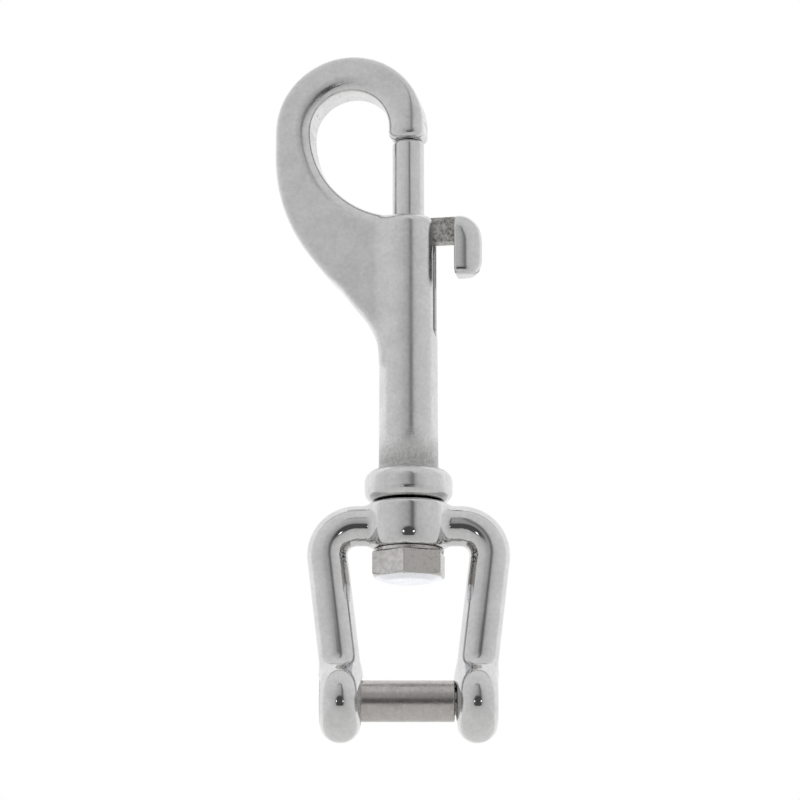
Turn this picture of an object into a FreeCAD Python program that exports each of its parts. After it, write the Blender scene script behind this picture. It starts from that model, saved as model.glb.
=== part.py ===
import FreeCAD, Part
import math
import os
import re

import Sketcher

# Stainless steel snap hook with a spring plunger, on a swivelling shackle.
# Frame: origin at the centre of the clevis pin, on the swivel axis.  +Z runs up the barrel to the
# hook, and +X runs along the clevis pin.  The casting, its plunger and its lever are drawn in the XZ
# plane, with the thumb lever towards +X, and are then turned about Z to where the hook hangs on the
# swivel.  Millimetres, degrees.

SIZES = {
    # whole
    "hook_turn": 10.5,
    "overlap": 0.5,
    "overrun": 1.0,
    # casting: barrel and collar, turned about Z
    "barrel_radius": 4.4,
    "barrel_top": 72.85,
    "barrel_top_edge": 1.3,
    "collar_radius": 6.5,
    "collar_bottom": 29.25,
    "collar_top": 33.9,
    "collar_edge": 1.6,
    "collar_root": 0.6,
    # casting: hook and web, a plate shape in the XZ plane
    "hook_stock": 5.4,
    "hook_outer": 11.45,
    "crown_level": 87.3,
    "nose_end": 85.2,
    "nose_socket_radius": 2.3,
    "nose_socket_top": 86.0,
    "throat_radius": 14.45,
    "back_level": 83.45,
    "back_radius": 26.5,
    "web_radius": 12.0,
    "web_foot": 50.0,
    "trim_level": 67.1,
    "trim_radius": 14.7,
    "hook_depth": 6.6,
    "hook_edge": 0.8,
    # casting: what is cut out of it
    "bore_radius": 2.48,
    "tapped_radius": 3.0,
    "tapped_top": 38.0,
    "slot_width": 2.7,
    "slot_bottom": 54.2,
    "slot_lip": 0.5,
    # plunger
    "plunger_radius": 2.42,
    "plunger_foot": 60.0,
    "plunger_top": 85.8,
    "plunger_crown": 0.6,
    "cross_hole_radius": 1.0,
    "cross_hole_depth": 1.4,
    # thumb lever
    "stem_thickness": 2.3,
    "stem_bottom": 68.8,
    "stem_top": 72.65,
    "stem_start": 2.46,
    "knob_inner": 7.3,
    "knob_outer": 11.4,
    "knob_bottom": 63.5,
    "knob_top": 72.75,
    "knob_width": 4.5,
    "knob_shoulder": 3.4,
    "knob_heel": 1.6,
    "knob_side": 1.6,
    "tenon_radius": 0.96,
    "tenon_tip": 1.2,
    # plunger spring
    "spring_radius": 1.95,
    "spring_wire": 0.5,
    "spring_turns": 12.0,
    "spring_gap": 0.05,
    # swivel bolt and its washer
    "bolt_radius": 2.98,
    "bolt_tip": 37.6,
    "bolt_point": 0.8,
    "head_flats": 10.0,
    "head_bottom": 17.4,
    "head_top": 21.6,
    "head_turn": -7.4,
    "chamfer_angle": 22.0,
    "chamfer_radius": 3.5,
    "washer_radius": 5.2,
    "washer_hole": 3.2,
    "washer_thickness": 0.55,
    # fork
    "boss_radius": 6.0,
    "boss_bottom": 22.2,
    "boss_top": 29.05,
    "boss_edge": 0.8,
    "boss_curve": 5.6,
    "boss_curve_level": 24.9,
    "boss_bore": 3.06,
    "arm_radius": 3.0,
    "arm_level": 25.7,
    "arm_bend": 4.3,
    "arm_lean": 6.9,
    "arm_foot": 9.35,
    "arm_end": 2.0,
    "ear_radius": 6.05,
    "ear_inner": 6.9,
    "ear_outer": 12.9,
    "ear_edge": 2.6,
    "left_bore": 3.65,
    "right_bore": 2.52,
    # clevis pin
    "pin_radius": 3.0,
    "pin_head_radius": 3.6,
    "pin_head_edge": 0.3,
    "pin_shoulder": 6.6,
    "pin_neck_radius": 2.05,
    "pin_neck_end": 7.8,
    "pin_thread_radius": 2.5,
    "pin_tip": 12.8,
    "pin_point": 0.6,
    "socket_flats": 4.0,
    "socket_depth": 2.8,
}

SHEET = "Sizes"
FUNCTIONS = ("sin", "cos", "tan", "sqrt", "deg")
doc = FreeCAD.newDocument("swivel_snap")


# ---------------------------------------------------------------- sheet and expressions

def make_sheet():
    """Write the driving sizes into a spreadsheet, one row each, with the value's cell named."""
    sheet = doc.addObject("Spreadsheet::Sheet", SHEET)
    for row, (name, value) in enumerate(SIZES.items(), start=1):
        sheet.set(f"A{row}", name)
        sheet.set(f"B{row}", str(value))
        sheet.setAlias(f"B{row}", name)
    doc.recompute()
    return sheet


sheet = make_sheet()


def size(name):
    """Read one driving size from the sheet."""
    return float(sheet.get(name))


def on_sheet(formula):
    """Turn a formula of size names into an expression that reads the sheet's cells."""
    def link(word):
        name = word.group(0)
        return name if name in FUNCTIONS else f"{SHEET}.{name}"
    return re.sub(r"[a-z][a-z_]*[a-z]", link, formula)


def value_of(formula):
    """Work out a formula of size names as a plain number."""
    return float(sheet.evalExpression(on_sheet(formula).replace(f"{SHEET}.", "")))


# ---------------------------------------------------------------- sketches and features

def new_body(name):
    """Start a sub-part whose label names its node."""
    body = doc.addObject("PartDesign::Body", name)
    body.Label = name
    body.Placement = FreeCAD.Placement()
    return body


def origin_plane(body, role):
    """Find one of the body's own origin planes or axes."""
    return next(item for item in body.Origin.OriginFeatures if item.Role == role)


def new_sketch(body, name, role, height=None):
    """Attach a sketch to an origin plane of its body, raised by a formula if one is given."""
    sketch = body.newObject("Sketcher::SketchObject", name)
    sketch.AttachmentSupport = [(origin_plane(body, role), "")]
    sketch.MapMode = "FlatFace"
    if height:
        sketch.setExpression("AttachmentOffset.Base.z", on_sheet(height))
    doc.recompute()
    return sketch


def hold(sketch, constraint, formula):
    """Add a dimension to the sketch and bind it to the sheet."""
    number = sketch.addConstraint(constraint)
    sketch.renameConstraint(number, f"size_{number}")
    sketch.setExpression(f"Constraints.size_{number}", on_sheet(formula))


def hold_point(sketch, edge, end, x_formula, y_formula):
    """Hold one point of the sketch at a place given by two formulas."""
    for kind, formula, axis in (("DistanceX", x_formula, -2), ("DistanceY", y_formula, -1)):
        value = value_of(formula)
        if abs(value) < 1e-9:
            sketch.addConstraint(Sketcher.Constraint("PointOnObject", edge, end, axis))
        else:
            hold(sketch, Sketcher.Constraint(kind, -1, 1, edge, end, value), formula)


def arc_between(start, end, radius):
    """Draw the short arc from start to end: left-turning for a positive radius, right-turning for a
    negative one.  Sketch arcs always run anticlockwise, so a right-turning one is stored backwards."""
    chord = end - start
    half = chord.Length / 2
    reach = math.sqrt(max(radius * radius - half * half, 0.0))
    left = FreeCAD.Vector(-chord.y, chord.x, 0).normalize()
    centre = (start + end) / 2 + left * math.copysign(reach, radius)
    first, last = (start, end) if radius > 0 else (end, start)
    angles = [math.atan2(p.y - centre.y, p.x - centre.x) for p in (first, last)]
    circle = Part.Circle(centre, FreeCAD.Vector(0, 0, 1), abs(radius))
    return Part.ArcOfCircle(circle, *angles)


def draw(sketch, corners, free=None, smooth=()):
    """Draw a closed outline.  A corner is (x, y) before a straight edge, or (x, y, radius) before an
    arc; each is a formula, and a radius with a leading minus turns right.  Corners in free start at
    the given points and are placed by tangency, and the edges run smoothly through those in smooth."""
    free = free or {}
    points = [free[n] if n in free else FreeCAD.Vector(value_of(c[0]), value_of(c[1]), 0)
              for n, c in enumerate(corners)]
    ends = []
    for number, corner in enumerate(corners):
        start, end = points[number], points[(number + 1) % len(points)]
        if len(corner) < 3:
            edge = sketch.addGeometry(Part.LineSegment(start, end), False)
            ends.append((edge, 1, 2))
        else:
            radius = value_of(corner[2])
            edge = sketch.addGeometry(arc_between(start, end, radius), False)
            ends.append((edge, 1, 2) if radius > 0 else (edge, 2, 1))
            hold(sketch, Sketcher.Constraint("Radius", edge, abs(radius)), corner[2].lstrip("-"))
    for number, (edge, first, _) in enumerate(ends):
        before, _, before_last = ends[number - 1]
        kind = "Tangent" if number in smooth else "Coincident"
        sketch.addConstraint(Sketcher.Constraint(kind, before, before_last, edge, first))
        if number not in free:
            hold_point(sketch, edge, first, corners[number][0], corners[number][1])
    return [edge for edge, _, _ in ends]


def settle(sketch):
    """Solve a sketch and stop if its dimensions disagree or leave it loose."""
    if sketch.solve() != 0 or not sketch.FullyConstrained:
        raise RuntimeError(f"{sketch.Name} is not fully held")


def draw_circle(sketch, x_formula, y_formula, radius):
    """Draw a circle whose centre and radius are formulas."""
    centre = FreeCAD.Vector(value_of(x_formula), value_of(y_formula), 0)
    circle = Part.Circle(centre, FreeCAD.Vector(0, 0, 1), value_of(radius))
    edge = sketch.addGeometry(circle, False)
    hold_point(sketch, edge, 3, x_formula, y_formula)
    hold(sketch, Sketcher.Constraint("Radius", edge, value_of(radius)), radius)


def add(body, kind, name, profile, formulas=None, **settings):
    """Add a feature made from a sketch, with plain settings and others bound to the sheet."""
    feature = body.newObject(f"PartDesign::{kind}", name)
    feature.Profile = profile
    for setting, value in settings.items():
        setattr(feature, setting, value)
    for setting, formula in (formulas or {}).items():
        feature.setExpression(setting, on_sheet(formula))
    doc.recompute()
    return feature


def cut(body, kind, name, profile, formulas=None, **settings):
    """Add a cutting feature and make sure that it takes something away."""
    before = body.Shape.Volume
    feature = add(body, kind, name, profile, formulas, **settings)
    if body.Shape.Volume > before - 0.01:
        raise RuntimeError(f"{name} cuts nothing")
    return feature


def round_edges(body, name, radius, chosen):
    """Round the edges of the body's last feature that the test picks out."""
    base = body.Tip
    edges = [f"Edge{n}" for n, edge in enumerate(base.Shape.Edges, start=1) if chosen(edge)]
    fillet = body.newObject("PartDesign::Fillet", name)
    fillet.Base = (base, edges)
    fillet.setExpression("Radius", on_sheet(radius))
    doc.recompute()
    return fillet


def is_outline(edge, depth):
    """Say whether an edge lies in one of the two flat faces of a plate centred on the XZ plane."""
    box = edge.BoundBox
    return box.YLength < 0.001 and abs(abs(box.YMin) - depth / 2) < 0.001


def is_slot_lip(edge):
    """Say whether an edge is where the slot's walls or floor meet the outside of the barrel."""
    box = edge.BoundBox
    half = size("slot_width") / 2 + 0.001
    inside = size("barrel_radius") * 0.9
    below_top = box.ZMax < size("barrel_top") - size("barrel_top_edge") + 0.01
    return abs(box.YMax) < half and abs(box.YMin) < half and box.XMin > inside and below_top


def in_barrel(edge, side, foot):
    """Say whether an edge lies in the strip of the hook's plate that the barrel swallows."""
    box = edge.BoundBox
    return box.XMin > side - 0.001 and box.ZMin > foot - 0.001 and box.ZMax < size("barrel_top") + 0.001


# ---------------------------------------------------------------- casting

def hook_tangents():
    """Work out where the straight back of the web meets the arcs above and below it."""
    upper = FreeCAD.Vector(size("back_radius") - size("hook_outer") * 2 + size("hook_stock") / 2,
                           size("back_level"), 0)
    lower = FreeCAD.Vector(-size("barrel_radius") - size("web_radius"), size("web_foot"), 0)
    between = upper - lower
    reach = size("back_radius") + size("web_radius")
    angle = math.atan2(between.y, between.x) - math.acos(reach / between.Length)
    normal = FreeCAD.Vector(math.cos(angle), math.sin(angle), 0)
    return upper - normal * size("back_radius"), lower + normal * size("web_radius")


def draw_hook(sketch):
    """Draw the hook and its web: nose, crown, back, straight web, foot arc, throat and eye."""
    nose_right = "hook_stock / 2"
    crown = "hook_stock / 2 - hook_outer"
    back = "hook_stock / 2 - 2 * hook_outer"
    eye_left = "3 * hook_stock / 2 - 2 * hook_outer"
    throat = eye_left + " + throat_radius"
    eye_turn = "-(hook_outer - hook_stock)"
    back_end, foot_start = hook_tangents()
    edges = draw(sketch, [
        (nose_right, "nose_end"),
        (nose_right, "crown_level", "hook_outer"),
        (crown, "crown_level + hook_outer", "hook_outer"),
        (back, "crown_level"),
        (back, "back_level", "back_radius"),
        (),
        ("", "", "-web_radius"),
        ("-barrel_radius", "web_foot"),
        (throat, "web_foot"),
        (throat, "barrel_top", "-throat_radius"),
        (eye_left, "crown_level", eye_turn),
        (crown, "crown_level + hook_outer - hook_stock", eye_turn),
        ("-hook_stock / 2", "crown_level"),
        ("-hook_stock / 2", "nose_end"),
    ], free={5: back_end, 6: foot_start}, smooth=(4, 5, 6))
    foot_arc = edges[6]
    hold(sketch, Sketcher.Constraint("DistanceY", -1, 1, foot_arc, 3, size("web_foot")), "web_foot")
    settle(sketch)


def draw_foot_trim(sketch):
    """Draw what is turned off around the web's foot, so that it grows out of the barrel roundly."""
    _, foot_start = hook_tangents()
    edges = draw(sketch, [
        ("-2 * hook_outer", "web_foot"),
        ("-2 * hook_outer", "trim_level"),
        ("-trim_radius", "trim_level"),
        ("", "", "-web_radius"),
        ("-barrel_radius", "web_foot"),
    ], free={3: foot_start}, smooth=(3,))
    foot_arc = edges[3]
    hold(sketch, Sketcher.Constraint("DistanceY", -1, 1, foot_arc, 3, size("web_foot")), "web_foot")
    settle(sketch)


def make_snap_body():
    """Cast hook, web, barrel and collar in one piece, then bored, tapped and slotted."""
    body = new_body("snap_body")

    outline = new_sketch(body, "hook_outline", "XZ_Plane")
    draw_hook(outline)
    add(body, "Pad", "hook", outline, {"Length": "hook_depth"}, SideType="Symmetric")
    foot = size("web_foot")
    inside = -size("barrel_radius")
    round_edges(body, "hook_rounding", "hook_edge",
                lambda e: is_outline(e, size("hook_depth")) and not in_barrel(e, inside, foot))

    trim = new_sketch(body, "foot_trim", "XZ_Plane")
    draw_foot_trim(trim)
    cut(body, "Groove", "foot_rounding", trim, ReferenceAxis=(trim, ["V_Axis"]))

    section = new_sketch(body, "barrel_section", "XZ_Plane")
    draw(section, [
        ("0", "collar_bottom"),
        ("collar_radius - collar_edge", "collar_bottom", "collar_edge"),
        ("collar_radius", "collar_bottom + collar_edge"),
        ("collar_radius", "collar_top - collar_edge", "collar_edge"),
        ("collar_radius - collar_edge", "collar_top"),
        ("barrel_radius + collar_root", "collar_top", "-collar_root"),
        ("barrel_radius", "collar_top + collar_root"),
        ("barrel_radius", "barrel_top - barrel_top_edge", "barrel_top_edge"),
        ("barrel_radius - barrel_top_edge", "barrel_top"),
        ("0", "barrel_top")])
    add(body, "Revolution", "barrel", section, ReferenceAxis=(section, ["V_Axis"]))

    socket = new_sketch(body, "nose_socket_section", "XZ_Plane")
    rise = "(nose_socket_top - nose_end)"
    draw(socket, [
        ("0", "nose_end - overrun"), ("nose_socket_radius", "nose_end - overrun"),
        ("nose_socket_radius", "nose_end", f"(nose_socket_radius ^ 2 + {rise} ^ 2) / (2 * {rise})"),
        ("0", "nose_socket_top")])
    cut(body, "Groove", "nose_socket", socket, ReferenceAxis=(socket, ["V_Axis"]))

    bore = new_sketch(body, "bore_section", "XZ_Plane")
    draw(bore, [
        ("0", "collar_bottom - overrun"), ("tapped_radius", "collar_bottom - overrun"),
        ("tapped_radius", "tapped_top"), ("bore_radius", "tapped_top + tapped_radius - bore_radius"),
        ("bore_radius", "barrel_top + overrun"), ("0", "barrel_top + overrun")])
    cut(body, "Groove", "bore", bore, ReferenceAxis=(bore, ["V_Axis"]))

    slot = new_sketch(body, "slot_outline", "YZ_Plane")
    draw(slot, [
        ("0", "slot_bottom", "slot_width / 2"),
        ("slot_width / 2", "slot_bottom + slot_width / 2"),
        ("slot_width / 2", "barrel_top + overrun"),
        ("-slot_width / 2", "barrel_top + overrun"),
        ("-slot_width / 2", "slot_bottom + slot_width / 2", "slot_width / 2")])
    cut(body, "Pocket", "slot", slot, {"Length": "barrel_radius + overrun"}, Reversed=True)
    round_edges(body, "slot_rounding", "slot_lip", is_slot_lip)
    return body


# ---------------------------------------------------------------- plunger, lever and spring

def make_plunger():
    """Turn the plunger with a domed top and drill the cross hole for the lever's tenon."""
    body = new_body("plunger")
    section = new_sketch(body, "plunger_section", "XZ_Plane")
    edge = "plunger_crown"
    draw(section, [
        ("0", "plunger_foot"),
        (f"plunger_radius - {edge}", "plunger_foot", edge),
        ("plunger_radius", f"plunger_foot + {edge}"),
        ("plunger_radius", f"plunger_top - 2 * {edge}", edge),
        (f"plunger_radius - {edge}", f"plunger_top - {edge}",
         f"((plunger_radius - {edge}) ^ 2 + {edge} ^ 2) / (2 * {edge})"),
        ("0", "plunger_top")])
    add(body, "Revolution", "rod", section, ReferenceAxis=(section, ["V_Axis"]))

    hole = new_sketch(body, "cross_hole_outline", "YZ_Plane", "-cross_hole_depth")
    draw_circle(hole, "0", "(stem_bottom + stem_top) / 2", "cross_hole_radius")
    cut(body, "Pocket", "cross_hole", hole, {"Length": "plunger_radius + cross_hole_depth + overrun"},
        Reversed=True)
    return body


def make_thumb_lever():
    """Make the flat stem, the D-shaped knob at its end and the tenon that enters the plunger."""
    body = new_body("thumb_lever")
    knob = new_sketch(body, "knob_outline", "XZ_Plane")
    draw(knob, [
        ("knob_inner", "knob_bottom"),
        ("knob_outer - knob_heel", "knob_bottom", "knob_heel"),
        ("knob_outer", "knob_bottom + knob_heel"),
        ("knob_outer", "knob_top - knob_shoulder", "knob_shoulder"),
        ("knob_outer - knob_shoulder", "knob_top"),
        ("knob_inner", "knob_top")])
    add(body, "Pad", "knob", knob, {"Length": "knob_width"}, SideType="Symmetric")
    half = size("knob_width") / 2
    outer = size("knob_inner") + 0.01
    round_edges(body, "knob_rounding", "knob_side",
                lambda e: is_outline(e, 2 * half) and e.BoundBox.XMax > outer)

    stem = new_sketch(body, "stem_outline", "XZ_Plane")
    draw(stem, [
        ("stem_start", "stem_bottom"), ("knob_inner + overlap", "stem_bottom"),
        ("knob_inner + overlap", "stem_top"), ("stem_start", "stem_top")])
    add(body, "Pad", "stem", stem, {"Length": "stem_thickness"}, SideType="Symmetric")

    tenon = new_sketch(body, "tenon_outline", "YZ_Plane", "-tenon_tip")
    draw_circle(tenon, "0", "(stem_bottom + stem_top) / 2", "tenon_radius")
    add(body, "Pad", "tenon", tenon, {"Length": "tenon_tip + stem_start + overlap"})
    return body


def make_plunger_spring():
    """Coil the compression spring between the bolt's tip and the plunger's foot."""
    body = new_body("plunger_spring")
    wire = new_sketch(body, "wire_section", "XZ_Plane")
    draw_circle(wire, "spring_radius", "bolt_tip + spring_gap + spring_wire / 2", "spring_wire / 2")
    coil = body.newObject("PartDesign::AdditiveHelix", "coil")
    coil.Profile = wire
    coil.ReferenceAxis = (wire, ["V_Axis"])
    coil.Mode = "height-turns-angle"
    coil.setExpression("Turns", on_sheet("spring_turns"))
    coil.setExpression("Height", on_sheet("plunger_foot - bolt_tip - 2 * spring_gap - spring_wire"))
    doc.recompute()
    return body


# ---------------------------------------------------------------- swivel bolt and washer

def make_swivel_bolt():
    """Make the hexagon-head bolt that screws up into the barrel and carries the fork."""
    body = new_body("swivel_bolt")
    head = new_sketch(body, "head_outline", "XY_Plane", "head_bottom")
    draw_hexagon(head, "head_flats", "head_turn")
    add(body, "Pad", "head", head, {"Length": "head_top - head_bottom"})

    rim = new_sketch(body, "head_chamfer_section", "XZ_Plane")
    draw(rim, [
        ("chamfer_radius", "head_bottom - overrun"),
        ("head_flats", "head_bottom - overrun"),
        ("head_flats", "head_bottom + (head_flats - chamfer_radius) * tan(chamfer_angle * 1deg)"),
        ("chamfer_radius", "head_bottom")])
    cut(body, "Groove", "head_chamfer", rim, ReferenceAxis=(rim, ["V_Axis"]))

    shank = new_sketch(body, "shank_section", "XZ_Plane")
    draw(shank, [
        ("0", "head_top - overlap"), ("bolt_radius", "head_top - overlap"),
        ("bolt_radius", "bolt_tip - bolt_point"), ("bolt_radius - bolt_point", "bolt_tip"),
        ("0", "bolt_tip")])
    add(body, "Revolution", "shank", shank, ReferenceAxis=(shank, ["V_Axis"]))
    return body


def make_swivel_washer():
    """Make the thin washer between the bolt's head and the fork's boss."""
    body = new_body("swivel_washer")
    ring = new_sketch(body, "washer_outline", "XY_Plane", "head_top")
    draw_circle(ring, "0", "0", "washer_radius")
    draw_circle(ring, "0", "0", "washer_hole")
    add(body, "Pad", "ring", ring, {"Length": "washer_thickness"})
    return body


# ---------------------------------------------------------------- fork and clevis pin

def make_fork():
    """Make the fork: a boss on the bolt, two bent arms and two rounded, bored ears."""
    body = new_body("fork")
    boss = new_sketch(body, "boss_section", "XZ_Plane")
    curve_height = "boss_curve_level - boss_bottom"
    draw(boss, [
        ("0", "boss_bottom"),
        (f"boss_radius - boss_curve + sqrt(boss_curve ^ 2 - ({curve_height}) ^ 2)", "boss_bottom",
         "boss_curve"),
        ("boss_radius", "boss_curve_level"),
        ("boss_radius", "boss_top - boss_edge", "boss_edge"),
        ("boss_radius - boss_edge", "boss_top"),
        ("0", "boss_top")])
    add(body, "Revolution", "boss", boss, ReferenceAxis=(boss, ["V_Axis"]))

    path = new_sketch(body, "arm_path", "XZ_Plane")
    draw_arm_path(path)
    rod = new_sketch(body, "arm_section", "YZ_Plane")
    draw_circle(rod, "0", "arm_level", "arm_radius")
    arm = add(body, "AdditivePipe", "arm", rod, Spine=(path, ["Edge1", "Edge2", "Edge3"]))

    lobe = new_sketch(body, "ear_section", "XZ_Plane")
    draw(lobe, [
        ("ear_inner", "0"),
        ("ear_inner", "ear_radius - ear_edge", "-ear_edge"),
        ("ear_inner + ear_edge", "ear_radius"),
        ("ear_outer - ear_edge", "ear_radius", "-ear_edge"),
        ("ear_outer", "ear_radius - ear_edge"),
        ("ear_outer", "0")])
    ear = add(body, "Revolution", "ear", lobe, ReferenceAxis=(lobe, ["H_Axis"]))

    other_side = body.newObject("PartDesign::Mirrored", "other_arm")
    other_side.Originals = [arm, ear]
    other_side.MirrorPlane = (origin_plane(body, "YZ_Plane"), [""])
    body.Tip = other_side
    doc.recompute()

    for name, radius, side in (("left_bore", "left_bore", "-"), ("right_bore", "right_bore", "")):
        section = new_sketch(body, f"{name}_section", "XZ_Plane")
        near, far = f"{side}(ear_inner - overrun)", f"{side}(ear_outer + overrun)"
        draw(section, [(near, "0"), (far, "0"), (far, radius), (near, radius)])
        cut(body, "Groove", name, section, ReferenceAxis=(section, ["H_Axis"]))

    hole = new_sketch(body, "boss_bore_outline", "XY_Plane", "boss_bottom - overrun")
    draw_circle(hole, "0", "0", "boss_bore")
    cut(body, "Pocket", "boss_bore", hole, {"Length": "boss_top - boss_bottom + 2 * overrun"},
        Reversed=True)
    return body


def draw_arm_path(sketch):
    """Draw the arm's centreline: out from the boss, round the bend and down the leaning leg."""
    lean = math.radians(size("arm_lean"))
    bend = size("arm_bend")
    level, end = size("arm_level"), size("arm_end")
    down = FreeCAD.Vector(-math.sin(lean), -math.cos(lean), 0)
    outward = FreeCAD.Vector(math.cos(lean), -math.sin(lean), 0)
    centre_height = level - bend
    leg_end = FreeCAD.Vector(size("arm_foot") + end * math.tan(lean), end, 0)
    bend_end_height = centre_height + outward.y * bend
    bend_end = leg_end - down * ((bend_end_height - end) / math.cos(lean))
    centre = bend_end - outward * bend
    bend_start = FreeCAD.Vector(centre.x, level, 0)
    start = FreeCAD.Vector(0, level, 0)

    run = sketch.addGeometry(Part.LineSegment(start, bend_start), False)
    arc = sketch.addGeometry(arc_between(bend_start, bend_end, -bend), False)
    leg = sketch.addGeometry(Part.LineSegment(bend_end, leg_end), False)
    hold_point(sketch, run, 1, "0", "arm_level")
    sketch.addConstraint(Sketcher.Constraint("Horizontal", run))
    sketch.addConstraint(Sketcher.Constraint("Tangent", run, 2, arc, 2))
    sketch.addConstraint(Sketcher.Constraint("Tangent", arc, 1, leg, 1))
    hold(sketch, Sketcher.Constraint("Radius", arc, bend), "arm_bend")
    hold_point(sketch, leg, 2, "arm_foot + arm_end * tan(arm_lean * 1deg)", "arm_end")
    slope = Sketcher.Constraint("Angle", leg, -math.pi / 2 - lean)
    hold(sketch, slope, "-(90 + arm_lean) * 1deg")
    settle(sketch)


def make_clevis_pin():
    """Make the pin: socket head in the left ear, 6 mm shank across the jaw, thread in the right."""
    body = new_body("clevis_pin")
    section = new_sketch(body, "pin_section", "XZ_Plane")
    edge = "pin_head_edge"
    draw(section, [
        ("-ear_outer", "0"),
        ("-ear_outer", f"pin_head_radius - {edge}"),
        (f"{edge} - ear_outer", "pin_head_radius"),
        ("-ear_inner", "pin_head_radius"),
        ("-ear_inner", "pin_radius"),
        ("pin_shoulder", "pin_radius"),
        ("pin_shoulder", "pin_neck_radius"),
        ("pin_neck_end", "pin_neck_radius"),
        ("pin_neck_end", "pin_thread_radius"),
        ("pin_tip - pin_point", "pin_thread_radius"),
        ("pin_tip", "pin_thread_radius - pin_point"),
        ("pin_tip", "0")])
    add(body, "Revolution", "shank", section, ReferenceAxis=(section, ["H_Axis"]))

    socket = new_sketch(body, "socket_outline", "YZ_Plane", "-ear_outer")
    draw_hexagon(socket, "socket_flats", "0")
    cut(body, "Pocket", "socket", socket, {"Length": "socket_depth"}, Reversed=True)
    return body


def draw_hexagon(sketch, flats, turn):
    """Draw a hexagon about the sketch's origin from its width across flats, one corner turned by an
    angle in degrees from the downward direction."""
    reach = f"{flats} / sqrt(3)"
    corners = []
    for number in range(6):
        angle = f"(({turn}) - 90 + {60 * number}) * 1deg"
        corners.append((f"{reach} * cos({angle})", f"{reach} * sin({angle})"))
    draw(sketch, corners)


# ---------------------------------------------------------------- writing

def turn_with_hook(body):
    """Turn a finished sub-part clockwise about Z, to where the hook hangs, and give it back."""
    body.Placement = FreeCAD.Placement(FreeCAD.Vector(), FreeCAD.Vector(0, 0, -1), size("hook_turn"))
    body.setExpression("Placement.Rotation.Angle", on_sheet("hook_turn * 1deg"))
    return body


def check_and_write(bodies):
    """Stop if anything in the document has failed, then write one file for each sub-part."""
    doc.recompute()
    for item in doc.Objects:
        if "Invalid" in item.State or "Error" in item.State:
            raise RuntimeError(f"{item.Name} has failed: {item.State}")
    os.makedirs("parts", exist_ok=True)
    for body in bodies:
        shape = body.Shape
        if shape.isNull() or not shape.isValid() or len(shape.Solids) != 1:
            raise RuntimeError(f"{body.Label} is not one valid solid")
        shape.exportStep(f"parts/{body.Label}.step")
        print(f"{body.Label}: {shape.Volume:.1f} mm3, {len(shape.Faces)} faces")


check_and_write([
    turn_with_hook(make_snap_body()),
    turn_with_hook(make_plunger()),
    turn_with_hook(make_thumb_lever()),
    make_plunger_spring(),
    make_swivel_bolt(),
    make_swivel_washer(),
    make_fork(),
    make_clevis_pin(),
])
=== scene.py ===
"""Look of a stainless steel snap hook with a spring plunger on a swivelling shackle.

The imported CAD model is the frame.  Every piece of hardware is rebuilt here as a fine mesh with the
soft blends of a casting or the crisp lines of a turned part, and dressed in its own steel finish.
"""
import logging
import math
from dataclasses import dataclass, field
from enum import Enum
from typing import Callable, Sequence

import bpy
import numpy as np
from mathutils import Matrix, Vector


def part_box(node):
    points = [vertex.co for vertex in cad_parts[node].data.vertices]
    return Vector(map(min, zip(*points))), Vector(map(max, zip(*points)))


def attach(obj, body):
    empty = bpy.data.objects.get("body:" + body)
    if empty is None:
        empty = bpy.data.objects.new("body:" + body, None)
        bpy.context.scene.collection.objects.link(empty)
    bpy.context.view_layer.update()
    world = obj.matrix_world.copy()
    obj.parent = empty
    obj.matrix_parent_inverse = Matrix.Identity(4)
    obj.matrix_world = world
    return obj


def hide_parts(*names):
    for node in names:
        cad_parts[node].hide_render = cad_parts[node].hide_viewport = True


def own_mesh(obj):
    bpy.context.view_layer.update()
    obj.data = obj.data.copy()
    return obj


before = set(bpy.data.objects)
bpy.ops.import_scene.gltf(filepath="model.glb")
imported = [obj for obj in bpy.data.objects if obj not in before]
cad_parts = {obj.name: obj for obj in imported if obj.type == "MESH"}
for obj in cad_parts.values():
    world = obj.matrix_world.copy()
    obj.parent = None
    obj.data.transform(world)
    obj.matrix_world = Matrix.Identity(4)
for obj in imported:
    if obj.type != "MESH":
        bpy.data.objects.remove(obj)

import openvdb
from mathutils import Vector

LOG = logging.getLogger("snap_swivel")
MM = 0.001
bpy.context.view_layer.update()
HOOK_TURN = 10.5  # degrees by which the snap half hangs turned about Z, clockwise from above

Array = np.ndarray
Distance = Callable[[Array, Array, Array], Array]
Tree = bpy.types.NodeTree
Socket = bpy.types.NodeSocket


# ---------------------------------------------------------------- solid shapes as distance fields

def rounded_join(side: Array, end: Array, radius: Array | float) -> Array:
    """Join a side wall and an end wall with a rounded edge.

    Args:
        side: Signed distance to the side wall, negative inside, in mm.
        end: Signed distance to the end wall, negative inside, in mm.
        radius: Radius of the rounded edge in mm.

    Returns:
        Signed distance to the solid that both walls close.
    """
    side_in, end_in = side + radius, end + radius
    inside = np.minimum(np.maximum(side_in, end_in), 0.0)
    return inside + np.hypot(np.maximum(side_in, 0.0), np.maximum(end_in, 0.0)) - radius


def fuse(first: Array, second: Array, blend: float) -> Array:
    """Fuse two solids with a soft fillet where they meet.

    Args:
        first: Signed distance to the first solid in mm.
        second: Signed distance to the second solid in mm.
        blend: Reach of the fillet in mm; the larger, the softer.

    Returns:
        Signed distance to the fused solid.
    """
    share = np.clip(0.5 + 0.5 * (second - first) / blend, 0.0, 1.0)
    return second + (first - second) * share - blend * share * (1.0 - share)


def carve(solid: Array, tool: Array, blend: float) -> Array:
    """Cut a tool's shape out of a solid and ease the new edge.

    Args:
        solid: Signed distance to the solid in mm.
        tool: Signed distance to the space that is cut away in mm.
        blend: Reach of the eased edge in mm.

    Returns:
        Signed distance to what is left.
    """
    return -fuse(-solid, tool, blend)


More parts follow.
